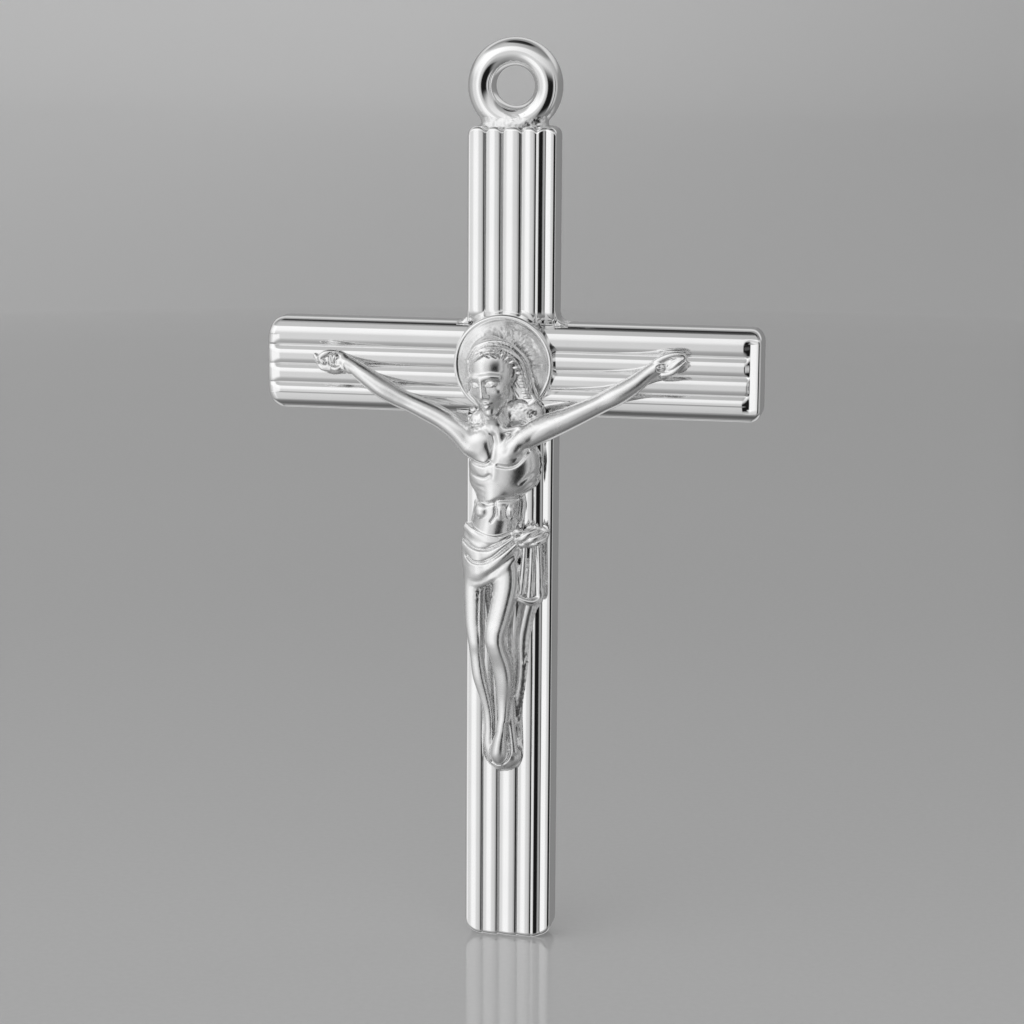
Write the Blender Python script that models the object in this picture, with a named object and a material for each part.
"""Small cast crucifix pendant: two reeded bars, a hanging eye, a nimbus and a figure.

Frame: origin at the centre of the upright's flat foot, +X to the viewer's right,
+Y towards the back, +Z up. Shapes are written in millimetres and stored in metres.
"""
import math

import bmesh
import bpy
from mathutils import Matrix, Vector

MM = 0.001

# Driving dimensions, in millimetres.
UPRIGHT_HEIGHT = 45.3
UPRIGHT_WIDTH = 4.9
CROSSBAR_LENGTH = 27.3
CROSSBAR_HEIGHT = 5.05
THICKNESS = 2.05
CROSSING_HEIGHT = 32.2
CLEARANCE = 0.04

# Reeding on the fronts of the bars: groove lines as distances from the bar's centre.
UPRIGHT_GROOVES = (-1.43, -0.55, 0.55, 1.43)
CROSSBAR_GROOVES = (-1.03, 0.0, 1.03)
GROOVE_DEPTH = 0.22
REED_STEPS = 5
EDGE_WIDTH = 0.36
EDGE_DROP = 0.42
BACK_CHAMFER = 0.25

# Rounded ends: how far each corner reaches across the bar and along it.
FOOT_CORNER = (1.15, 0.75)
TOP_CORNER = (0.45, 0.35)
CROSSBAR_CORNER = (0.85, 0.75)
CORNER_STEPS = 6

# Hanging eye, a plain ring standing in the plane of the cross.
EYE_RADIUS = 1.80
EYE_SECTION = 0.78
EYE_HEIGHT = CROSSING_HEIGHT + 15.22
EYE_STEPS = 40
EYE_SIDES = 14
EYE_TANG_RADIUS = 0.45
EYE_TANG_DEPTH = 2.2
SOLDER_WIDTH = 4.0
SOLDER_DEPTH = 2.0
SOLDER_RISE = 0.95

# Nimbus, a shallow dish with a raised rim.
NIMBUS_CENTRE = (-0.31, 0.22)
NIMBUS_RADIUS = 2.72
NIMBUS_RIM = 0.50
NIMBUS_FLOOR = 0.26

# Pins and nails.
RIVET_RADIUS = 0.40
RIVET_HEAD_RADIUS = 0.75
RIVET_HEAD_HEIGHT = 0.16
NAIL_RADIUS = 0.16
NAIL_HEAD_RADIUS = 0.30
NAIL_HEAD_HEIGHT = 0.14
NAIL_DEPTH = 1.3
PIN_RADIUS = 0.30
PIN_HEAD_RADIUS = 0.50
PIN_HEAD_HEIGHT = 0.35
FEET_PIN_PLACE = (-0.25, -21.10)
FEET_PIN_REACH = 0.50

FILLET_SIZE = 0.55
ROUND_STEPS = 32
FIGURE_VOXEL = 0.23
FIGURE_KEEP = 0.36

FRONT = -THICKNESS / 2
BACK = THICKNESS / 2

# The figure's forms. Each is a place (across, out from the bars' front, up from the crossing)
# followed by its half-sizes in the same order.
FORMS = {
    "shoulder_left": ((-2.15, 0.55, -3.45), (0.66, 0.62, 0.66)),
    "upper_left": ((-3.86, 0.55, -2.70), (0.60, 0.60, 0.60)),
    "elbow_left": ((-5.53, 0.52, -1.90), (0.60, 0.58, 0.58)),
    "fore_left": ((-7.20, 0.50, -0.98), (0.58, 0.56, 0.56)),
    "wrist_left": ((-8.60, 0.45, 0.08), (0.45, 0.45, 0.45)),
    "palm_left": ((-9.55, 0.38, 0.45), (0.60, 0.38, 0.52)),
    "fingers_left": ((-10.45, 0.32, 0.58), (0.42, 0.30, 0.42)),
    "shoulder_right": ((1.72, 0.55, -3.30), (0.66, 0.62, 0.66)),
    "upper_right": ((3.41, 0.55, -2.50), (0.60, 0.60, 0.60)),
    "elbow_right": ((4.87, 0.52, -1.70), (0.60, 0.58, 0.58)),
    "fore_right": ((6.38, 0.50, -0.85), (0.58, 0.56, 0.56)),
    "wrist_right": ((7.65, 0.45, 0.12), (0.45, 0.45, 0.45)),
    "palm_right": ((8.65, 0.38, 0.62), (0.60, 0.38, 0.52)),
    "fingers_right": ((9.50, 0.32, 0.80), (0.42, 0.30, 0.42)),
    "chest_left": ((-1.35, 0.80, -4.50), (0.85, 0.80, 0.95)),
    "chest_right": ((0.75, 0.80, -4.50), (0.85, 0.80, 0.95)),
    "ribs_left": ((-1.35, 0.70, -6.20), (0.72, 0.72, 0.80)),
    "ribs_right": ((0.65, 0.70, -6.20), (0.80, 0.72, 0.80)),
    "waist": ((-0.62, 0.70, -7.70), (1.18, 0.72, 0.80)),
    "hip_left": ((-1.45, 0.75, -9.60), (0.82, 0.80, 0.95)),
    "hip_right": ((0.45, 0.75, -9.60), (0.90, 0.80, 0.90)),
    "cloth_left": ((-1.40, 0.75, -11.20), (0.76, 0.74, 0.70)),
    "cloth_right": ((0.15, 0.75, -10.90), (0.80, 0.78, 0.70)),
    "knot": ((1.25, 0.85, -9.20), (0.70, 0.60, 0.60)),
    "tail_top": ((1.20, 0.50, -10.20), (0.52, 0.42, 0.50)),
    "tail_end": ((1.15, 0.35, -12.90), (0.50, 0.32, 0.45)),
    "knee_left": ((-1.42, 1.00, -14.90), (0.55, 0.58, 0.60)),
    "knee_right": ((-0.15, 1.10, -15.20), (0.62, 0.66, 0.65)),
    "calf_left": ((-1.15, 0.62, -17.40), (0.46, 0.50, 0.60)),
    "calf_right": ((0.05, 0.72, -17.40), (0.62, 0.56, 0.70)),
    "ankle_left": ((-0.80, 0.45, -19.80), (0.40, 0.40, 0.40)),
    "ankle_right": ((-0.05, 0.60, -19.60), (0.42, 0.42, 0.42)),
    "toes_left": ((0.20, 0.35, -21.40), (0.40, 0.34, 0.45)),
    "toes_right": ((-0.35, 0.55, -21.60), (0.45, 0.42, 0.55)),
    "ledge": ((-0.20, 0.22, -22.15), (0.72, 0.25, 0.40)),
    "neck": ((-0.60, 0.95, -2.90), (0.55, 0.60, 0.55)),
    "skull": ((-0.75, 1.55, 0.00), (1.05, 1.10, 1.10)),
    "jaw": ((-0.80, 1.75, -1.20), (0.62, 0.75, 0.65)),
    "hair_crown": ((0.35, 1.15, 0.40), (0.95, 0.85, 1.00)),
    "hair_fall": ((1.20, 0.80, -1.20), (0.62, 0.55, 0.60)),
    "hair_end": ((0.95, 0.75, -2.40), (0.50, 0.50, 0.50)),
}

# Forms joined two by two, each pair bridged by the smooth hull around both.
BRIDGES = (
    ("shoulder_left", "upper_left"),
    ("upper_left", "elbow_left"),
    ("elbow_left", "fore_left"),
    ("fore_left", "wrist_left"),
    ("wrist_left", "palm_left"),
    ("palm_left", "fingers_left"),
    ("shoulder_right", "upper_right"),
    ("upper_right", "elbow_right"),
    ("elbow_right", "fore_right"),
    ("fore_right", "wrist_right"),
    ("wrist_right", "palm_right"),
    ("palm_right", "fingers_right"),
    ("shoulder_left", "shoulder_right"),
    ("shoulder_left", "chest_left"),
    ("shoulder_right", "chest_right"),
    ("chest_left", "chest_right"),
    ("chest_left", "ribs_left"),
    ("chest_right", "ribs_right"),
    ("ribs_left", "ribs_right"),
    ("ribs_left", "waist"),
    ("ribs_right", "waist"),
    ("waist", "hip_left"),
    ("waist", "hip_right"),
    ("hip_left", "hip_right"),
    ("hip_left", "cloth_left"),
    ("hip_right", "cloth_right"),
    ("cloth_left", "cloth_right"),
    ("hip_right", "knot"),
    ("knot", "tail_top"),
    ("tail_top", "tail_end"),
    ("cloth_left", "knee_left"),
    ("cloth_right", "knee_right"),
    ("knee_left", "calf_left"),
    ("knee_right", "calf_right"),
    ("calf_left", "ankle_left"),
    ("calf_right", "ankle_right"),
    ("ankle_left", "toes_left"),
    ("ankle_right", "toes_right"),
    ("toes_left", "ledge"),
    ("toes_right", "ledge"),
    ("neck", "jaw"),
    ("neck", "shoulder_left"),
    ("neck", "shoulder_right"),
    ("jaw", "skull"),
    ("skull", "hair_crown"),
    ("hair_crown", "hair_fall"),
    ("hair_fall", "hair_end"),
)


def clear_scene():
    for item in list(bpy.data.objects):
        bpy.data.objects.remove(item, do_unlink=True)


def metal(name, color, roughness):
    material = bpy.data.materials.new(name)
    material.use_nodes = True
    shader = material.node_tree.nodes["Principled BSDF"]
    shader.inputs["Base Color"].default_value = (*color, 1.0)
    shader.inputs["Metallic"].default_value = 1.0
    shader.inputs["Roughness"].default_value = roughness
    material.diffuse_color = (*color, 1.0)
    return material


def finish_object(name, bm, material):
    """Turn a bmesh in millimetres into a smooth-shaded object in metres."""
    bmesh.ops.recalc_face_normals(bm, faces=bm.faces)
    bmesh.ops.scale(bm, vec=(MM, MM, MM), verts=bm.verts)
    mesh = bpy.data.meshes.new(name)
    bm.to_mesh(mesh)
    bm.free()
    mesh.shade_smooth()
    mesh.set_sharp_from_angle(angle=math.radians(40))
    item = bpy.data.objects.new(name, mesh)
    bpy.context.scene.collection.objects.link(item)
    if material is not None:
        mesh.materials.append(material)
    return item


def add_cutter(name, bm):
    cutter = finish_object(name, bm, None)
    cutter.hide_render = True
    cutter.display_type = "WIRE"
    return cutter


def add_boolean(item, cutter, operation="DIFFERENCE"):
    modifier = item.modifiers.new(cutter.name, "BOOLEAN")
    modifier.operation = operation
    modifier.object = cutter
    modifier.solver = "EXACT"


def prism(points):
    """Solid between two equal closed outlines, given as 3-D points start and end."""
    start, end = points
    bm = bmesh.new()
    first = [bm.verts.new(point) for point in start]
    last = [bm.verts.new(point) for point in end]
    bm.faces.new(first)
    bm.faces.new(list(reversed(last)))
    count = len(first)
    for index in range(count):
        after = (index + 1) % count
        bm.faces.new((first[after], first[index], last[index], last[after]))
    return bm


def box(low, high):
    centre = (Vector(low) + Vector(high)) / 2
    size = Vector(high) - Vector(low)
    bm = bmesh.new()
    matrix = Matrix.Translation(centre) @ Matrix.Diagonal((*size, 1.0))
    bmesh.ops.create_cube(bm, size=1.0, matrix=matrix)
    return bm


def turned(profile, centre, steps=ROUND_STEPS):
    """Solid of revolution about a line along Y; the profile is (radius, y) from axis to axis."""
    bm = bmesh.new()
    rings = []
    for radius, along in profile:
        if radius == 0.0:
            rings.append([bm.verts.new((centre[0], along, centre[1]))])
            continue
        ring = []
        for index in range(steps):
            angle = 2 * math.pi * index / steps
            across = centre[0] + radius * math.cos(angle)
            up = centre[1] + radius * math.sin(angle)
            ring.append(bm.verts.new((across, along, up)))
        rings.append(ring)
    pairs = list(zip(rings, rings[1:]))
    if profile[0][0] != 0.0:
        pairs.append((rings[-1], rings[0]))
    for one, two in pairs:
        for index in range(steps):
            after = (index + 1) % steps
            corners = [one[index % len(one)], one[after % len(one)]]
            corners += [two[after % len(two)], two[index % len(two)]]
            bm.faces.new(list(dict.fromkeys(corners)))
    return bm


def reed_front(grooves, half_width):
    """Front outline of a reeded bar, from one edge to the other: (across, out from the crests)."""
    inner = half_width - EDGE_WIDTH
    outline = []
    for step in range(4):
        angle = math.radians(90 * step / 3)
        across = -half_width + EDGE_WIDTH * (1 - math.cos(angle))
        outline.append((across, -EDGE_DROP * (1 - math.sin(angle))))
    stops = (-inner,) + tuple(grooves) + (inner,)
    for index, (start, end) in enumerate(zip(stops, stops[1:])):
        first = index == 0
        last = index == len(stops) - 2
        for step in range(1, REED_STEPS + 1):
            share = step / REED_STEPS
            if last and step == REED_STEPS:
                break
            if first:
                drop = GROOVE_DEPTH * share ** 2
            elif last:
                drop = GROOVE_DEPTH * (1 - share) ** 2
            else:
                drop = GROOVE_DEPTH * (2 * share - 1) ** 2
            outline.append((start + (end - start) * share, -drop))
    for step in range(4):
        angle = math.radians(90 * (3 - step) / 3)
        across = half_width - EDGE_WIDTH * (1 - math.cos(angle))
        outline.append((across, -EDGE_DROP * (1 - math.sin(angle))))
    return outline


def bar_section(grooves, half_width):
    """Closed cross-section of a bar: (across, y), reeded towards -Y and plain at the back."""
    section = [(across, FRONT - out) for across, out in reed_front(grooves, half_width)]
    section.append((half_width, BACK - BACK_CHAMFER))
    section.append((half_width - BACK_CHAMFER, BACK))
    section.append((BACK_CHAMFER - half_width, BACK))
    section.append((-half_width, BACK - BACK_CHAMFER))
    return section


def rounded_outline(low, high, corners):
    """Rectangle in the plane of the cross with elliptical corners.

    corners gives (reach across, reach up) for low-low, high-low, high-high, low-high.
    """
    places = ((low[0], low[1]), (high[0], low[1]), (high[0], high[1]), (low[0], high[1]))
    inward = ((1, 1), (-1, 1), (-1, -1), (1, -1))
    outline = []
    for index, (place, side, reach) in enumerate(zip(places, inward, corners)):
        centre = (place[0] + side[0] * reach[0], place[1] + side[1] * reach[1])
        for step in range(CORNER_STEPS + 1):
            angle = math.radians(180 + 90 * index + 90 * step / CORNER_STEPS)
            across = centre[0] + reach[0] * math.cos(angle)
            up = centre[1] + reach[1] * math.sin(angle)
            outline.append((across, up))
    return outline


def plate(outline, y_start, y_end):
    start = [(across, y_start, up) for across, up in outline]
    end = [(across, y_end, up) for across, up in outline]
    return prism((start, end))


def hole_cutter(name, place, radius, y_start, y_end):
    profile = ((0.0, y_start), (radius, y_start), (radius, y_end), (0.0, y_end))
    return add_cutter(name, turned(profile, place, steps=16))


def from_crossing(place):
    return (place[0], CROSSING_HEIGHT + place[1])


def eye_shape(section):
    """Ring in the plane of the cross, as a bmesh."""
    bm = bmesh.new()
    rings = []
    around = EYE_STEPS
    sides = EYE_SIDES
    for index in range(around):
        angle = 2 * math.pi * index / around
        ring = []
        for step in range(sides):
            turn = 2 * math.pi * step / sides
            reach = EYE_RADIUS + section * math.cos(turn)
            across = reach * math.cos(angle)
            up = EYE_HEIGHT + reach * math.sin(angle)
            ring.append(bm.verts.new((across, section * math.sin(turn), up)))
        rings.append(ring)
    for index in range(around):
        one = rings[index]
        two = rings[(index + 1) % around]
        for step in range(sides):
            after = (step + 1) % sides
            bm.faces.new((one[step], one[after], two[after], two[step]))
    return bm


def upright_rod(radius, low, high, steps=20):
    """Round rod standing on Z in the middle of the bar's thickness."""
    ring = [2 * math.pi * index / steps for index in range(steps)]
    start = [(radius * math.cos(a), radius * math.sin(a), low) for a in ring]
    end = [(radius * math.cos(a), radius * math.sin(a), high) for a in ring]
    return prism((start, end))


def make_upright(material):
    half = UPRIGHT_WIDTH / 2
    section = bar_section(UPRIGHT_GROOVES, half)
    start = [(across, y, 0.0) for across, y in section]
    end = [(across, y, UPRIGHT_HEIGHT) for across, y in section]
    upright = finish_object("upright", prism((start, end)), material)
    corners = (FOOT_CORNER, FOOT_CORNER, TOP_CORNER, TOP_CORNER)
    outline = rounded_outline((-half, 0.0), (half, UPRIGHT_HEIGHT), corners)
    blank = add_cutter("upright_outline", plate(outline, FRONT - 1.0, BACK + 1.0))
    add_boolean(upright, blank, "INTERSECT")
    lap = CROSSBAR_HEIGHT / 2 + CLEARANCE
    low = (-half - 1.0, FRONT - 1.0, CROSSING_HEIGHT - lap)
    high = (half + 1.0, CLEARANCE / 2, CROSSING_HEIGHT + lap)
    add_boolean(upright, add_cutter("upright_lap", box(low, high)))
    add_boolean(upright, add_cutter("eye_saddle", eye_shape(EYE_SECTION + CLEARANCE)))
    tang_low = EYE_HEIGHT - EYE_RADIUS - EYE_TANG_DEPTH - CLEARANCE
    tang = upright_rod(EYE_TANG_RADIUS + CLEARANCE, tang_low, UPRIGHT_HEIGHT + 1.0)
    add_boolean(upright, add_cutter("tang_hole", tang))
    place = from_crossing(NIMBUS_CENTRE)
    rivet_bore = RIVET_RADIUS + CLEARANCE
    add_boolean(upright, hole_cutter("upright_rivet_hole", place, rivet_bore, -1.0, BACK + 1.0))
    place = from_crossing(FEET_PIN_PLACE)
    bore = hole_cutter("upright_pin_hole", place, PIN_RADIUS + CLEARANCE, FRONT - 1.0, BACK + 1.0)
    add_boolean(upright, bore)
    sink = PIN_HEAD_RADIUS + CLEARANCE
    seat = hole_cutter("pin_head_seat", place, sink, BACK - PIN_HEAD_HEIGHT - CLEARANCE, BACK + 1.0)
    add_boolean(upright, seat)
    return upright


def make_crossbar(material):
    half = CROSSBAR_LENGTH / 2
    section = bar_section(CROSSBAR_GROOVES, CROSSBAR_HEIGHT / 2)
    start = [(-half, y, CROSSING_HEIGHT + up) for up, y in section]
    end = [(half, y, CROSSING_HEIGHT + up) for up, y in section]
    crossbar = finish_object("crossbar", prism((start, end)), material)
    reach = CROSSBAR_HEIGHT / 2
    low = (-half, CROSSING_HEIGHT - reach)
    high = (half, CROSSING_HEIGHT + reach)
    outline = rounded_outline(low, high, (CROSSBAR_CORNER,) * 4)
    blank = add_cutter("crossbar_outline", plate(outline, FRONT - 1.0, BACK + 1.0))
    add_boolean(crossbar, blank, "INTERSECT")
    lap = UPRIGHT_WIDTH / 2 + CLEARANCE
    low = (-lap, -CLEARANCE / 2, CROSSING_HEIGHT - reach - 1.0)
    high = (lap, BACK + 1.0, CROSSING_HEIGHT + reach + 1.0)
    add_boolean(crossbar, add_cutter("crossbar_lap", box(low, high)))
    place = from_crossing(NIMBUS_CENTRE)
    rivet_bore = RIVET_RADIUS + CLEARANCE
    add_boolean(crossbar, hole_cutter("crossbar_rivet_hole", place, rivet_bore, FRONT - 1.0, 1.0))
    for side in ("left", "right"):
        place = nail_place(side)
        bottom = FRONT + NAIL_DEPTH + CLEARANCE
        name = "crossbar_nail_hole_" + side
        add_boolean(crossbar, hole_cutter(name, place, NAIL_RADIUS + CLEARANCE, FRONT - 1.0, bottom))
    return crossbar


def make_hanging_eye(material):
    eye = finish_object("hanging_eye", eye_shape(EYE_SECTION), material)
    low = EYE_HEIGHT - EYE_RADIUS - EYE_TANG_DEPTH
    high = EYE_HEIGHT - EYE_RADIUS
    tang = add_cutter("eye_tang", upright_rod(EYE_TANG_RADIUS, low, high))
    add_boolean(eye, tang, "UNION")
    return eye


def make_eye_solder(material):
    """Collar of solder round the ring's foot, sitting on top of the upright."""
    bm = bmesh.new()
    base = UPRIGHT_HEIGHT + CLEARANCE
    size = Matrix.Diagonal((SOLDER_WIDTH / 2, SOLDER_DEPTH / 2, SOLDER_RISE, 1.0))
    matrix = Matrix.Translation((0.0, 0.0, base)) @ size
    bmesh.ops.create_uvsphere(bm, u_segments=24, v_segments=12, radius=1.0, matrix=matrix)
    solder = finish_object("eye_solder", bm, material)
    below = box((-4.0, -3.0, base - 3.0), (4.0, 3.0, base))
    add_boolean(solder, add_cutter("solder_base", below))
    add_boolean(solder, add_cutter("solder_seat", eye_shape(EYE_SECTION + CLEARANCE)))
    return solder


def make_corner_solder(name, side, level, material):
    """Concave fillet in one inner corner of the crossing."""
    across = side * (UPRIGHT_WIDTH / 2 + CLEARANCE)
    corner = (across, CROSSING_HEIGHT + level * (CROSSBAR_HEIGHT / 2 + CLEARANCE))
    outline = [corner]
    for step in range(5):
        angle = math.radians(90 * step / 4)
        across = corner[0] + side * FILLET_SIZE * (1 - math.sin(angle))
        up = corner[1] + level * FILLET_SIZE * (1 - math.cos(angle))
        outline.append((across, up))
    bm = plate(outline, FRONT + EDGE_DROP + 0.1, BACK - BACK_CHAMFER - 0.1)
    return finish_object(name, bm, material)


def make_nimbus(material):
    seat = FRONT - CLEARANCE
    crest = seat - NIMBUS_RIM
    floor = seat - NIMBUS_FLOOR
    bore = RIVET_RADIUS + CLEARANCE
    outer = NIMBUS_RADIUS
    profile = (
        (bore, seat),
        (outer, seat),
        (outer, seat - 0.22),
        (outer - 0.06, crest + 0.08),
        (outer - 0.18, crest),
        (outer - 0.32, crest + 0.05),
        (outer - 0.48, floor + 0.02),
        (outer - 0.70, floor),
        (bore, floor),
    )
    return finish_object("nimbus", turned(profile, from_crossing(NIMBUS_CENTRE)), material)


def make_crossing_rivet(material):
    head = FRONT - CLEARANCE - NIMBUS_FLOOR - CLEARANCE
    tip = BACK
    profile = (
        (0.0, head - RIVET_HEAD_HEIGHT),
        (RIVET_HEAD_RADIUS * 0.6, head - RIVET_HEAD_HEIGHT),
        (RIVET_HEAD_RADIUS, head - RIVET_HEAD_HEIGHT * 0.4),
        (RIVET_HEAD_RADIUS, head),
        (RIVET_RADIUS, head),
        (RIVET_RADIUS, tip),
        (RIVET_RADIUS * 0.7, tip + 0.08),
        (0.0, tip + 0.12),
    )
    place = from_crossing(NIMBUS_CENTRE)
    return finish_object("crossing_rivet", turned(profile, place, steps=20), material)


def nail_place(side):
    place = FORMS["palm_" + side][0]
    return from_crossing((place[0], place[2]))


def palm_front(side):
    place, size = FORMS["palm_" + side]
    return FRONT - place[1] - size[1]


def make_hand_nail(side, material):
    """Round-headed nail through a palm into a blind hole in the crossbar."""
    seat = palm_front(side) - CLEARANCE
    tip = FRONT + NAIL_DEPTH
    profile = (
        (0.0, seat - NAIL_HEAD_HEIGHT),
        (NAIL_HEAD_RADIUS * 0.6, seat - NAIL_HEAD_HEIGHT * 0.8),
        (NAIL_HEAD_RADIUS * 0.95, seat - NAIL_HEAD_HEIGHT * 0.3),
        (NAIL_HEAD_RADIUS, seat),
        (NAIL_RADIUS, seat),
        (NAIL_RADIUS, tip - 0.3),
        (0.0, tip),
    )
    return finish_object("hand_nail_" + side, turned(profile, nail_place(side), steps=16), material)


def make_feet_pin(material):
    """Pin from the back of the upright into a blind hole in the feet."""
    reach = FRONT - CLEARANCE - FEET_PIN_REACH
    profile = (
        (0.0, reach),
        (PIN_RADIUS, reach),
        (PIN_RADIUS, BACK - PIN_HEAD_HEIGHT),
        (PIN_HEAD_RADIUS, BACK - PIN_HEAD_HEIGHT),
        (PIN_HEAD_RADIUS, BACK - 0.05),
        (PIN_HEAD_RADIUS * 0.85, BACK),
        (0.0, BACK),
    )
    return finish_object("feet_pin", turned(profile, from_crossing(FEET_PIN_PLACE), steps=20), material)


def form_points(name):
    """Points on one rounded form of the figure."""
    place, size = FORMS[name]
    centre = Vector((place[0], FRONT - place[1], CROSSING_HEIGHT + place[2]))
    bm = bmesh.new()
    bmesh.ops.create_uvsphere(bm, u_segments=16, v_segments=10, radius=1.0)
    points = []
    for vert in bm.verts:
        offset = Vector((vert.co.x * size[0], vert.co.y * size[1], vert.co.z * size[2]))
        points.append(centre + offset)
    bm.free()
    return points


def add_bridge(bm, one, two):
    part = bmesh.new()
    for point in form_points(one) + form_points(two):
        part.verts.new(point)
    hull = bmesh.ops.convex_hull(part, input=part.verts)
    loose = [item for item in hull["geom_interior"] if isinstance(item, bmesh.types.BMVert)]
    bmesh.ops.delete(part, geom=loose, context="VERTS")
    bmesh.ops.recalc_face_normals(part, faces=part.faces)
    piece = bpy.data.meshes.new("bridge")
    part.to_mesh(piece)
    part.free()
    bm.from_mesh(piece)
    bpy.data.meshes.remove(piece)


def make_corpus(material):
    """The figure: one casting with a flat back, resting on the crests of the reeds."""
    bm = bmesh.new()
    for one, two in BRIDGES:
        add_bridge(bm, one, two)
    corpus = finish_object("corpus", bm, material)
    remesh = corpus.modifiers.new("one_skin", "REMESH")
    remesh.mode = "VOXEL"
    remesh.voxel_size = FIGURE_VOXEL * MM
    smooth = corpus.modifiers.new("soften", "SMOOTH")
    smooth.factor = 0.5
    smooth.iterations = 3
    reduce = corpus.modifiers.new("thin_out", "DECIMATE")
    reduce.ratio = FIGURE_KEEP
    reach = CROSSBAR_LENGTH
    behind = box((-reach, FRONT - CLEARANCE, 0.0), (reach, BACK + 3.0, UPRIGHT_HEIGHT))
    add_boolean(corpus, add_cutter("corpus_back", behind))
    rim = FRONT - CLEARANCE - NIMBUS_RIM - CLEARANCE
    reach = NIMBUS_RADIUS + CLEARANCE
    dish = ((0.0, rim), (reach, rim), (reach, BACK), (0.0, BACK))
    add_boolean(corpus, add_cutter("nimbus_room", turned(dish, from_crossing(NIMBUS_CENTRE))))
    for side in ("left", "right"):
        place = nail_place(side)
        name = "corpus_nail_hole_" + side
        add_boolean(corpus, hole_cutter(name, place, NAIL_RADIUS + CLEARANCE, FRONT - 3.0, BACK))
        seat = palm_front(side)
        name = "nail_head_seat_" + side
        add_boolean(corpus, hole_cutter(name, place, NAIL_HEAD_RADIUS + CLEARANCE, FRONT - 3.0, seat))
    end = FRONT - CLEARANCE - FEET_PIN_REACH - CLEARANCE
    place = from_crossing(FEET_PIN_PLACE)
    add_boolean(corpus, hole_cutter("feet_pin_hole", place, PIN_RADIUS + CLEARANCE, end, BACK))
    return corpus


def build():
    clear_scene()
    make_upright(metal("upright_metal", (0.86, 0.86, 0.87), 0.12))
    make_crossbar(metal("crossbar_metal", (0.84, 0.84, 0.85), 0.12))
    make_hanging_eye(metal("eye_metal", (0.88, 0.88, 0.88), 0.10))
    make_eye_solder(metal("eye_solder_metal", (0.74, 0.74, 0.75), 0.30))
    for height, level in (("upper", 1), ("lower", -1)):
        for hand, side in (("left", -1), ("right", 1)):
            place = height + "_" + hand
            solder = metal("solder_metal_" + place, (0.74, 0.74, 0.75), 0.30)
            make_corner_solder("corner_solder_" + place, side, level, solder)
    make_nimbus(metal("nimbus_metal", (0.82, 0.82, 0.83), 0.22))
    make_crossing_rivet(metal("rivet_metal", (0.78, 0.78, 0.79), 0.25))
    make_corpus(metal("corpus_metal", (0.86, 0.86, 0.86), 0.14))
    for side in ("left", "right"):
        make_hand_nail(side, metal("nail_metal_" + side, (0.80, 0.80, 0.81), 0.18))
    make_feet_pin(metal("feet_pin_metal", (0.78, 0.78, 0.79), 0.25))


build()
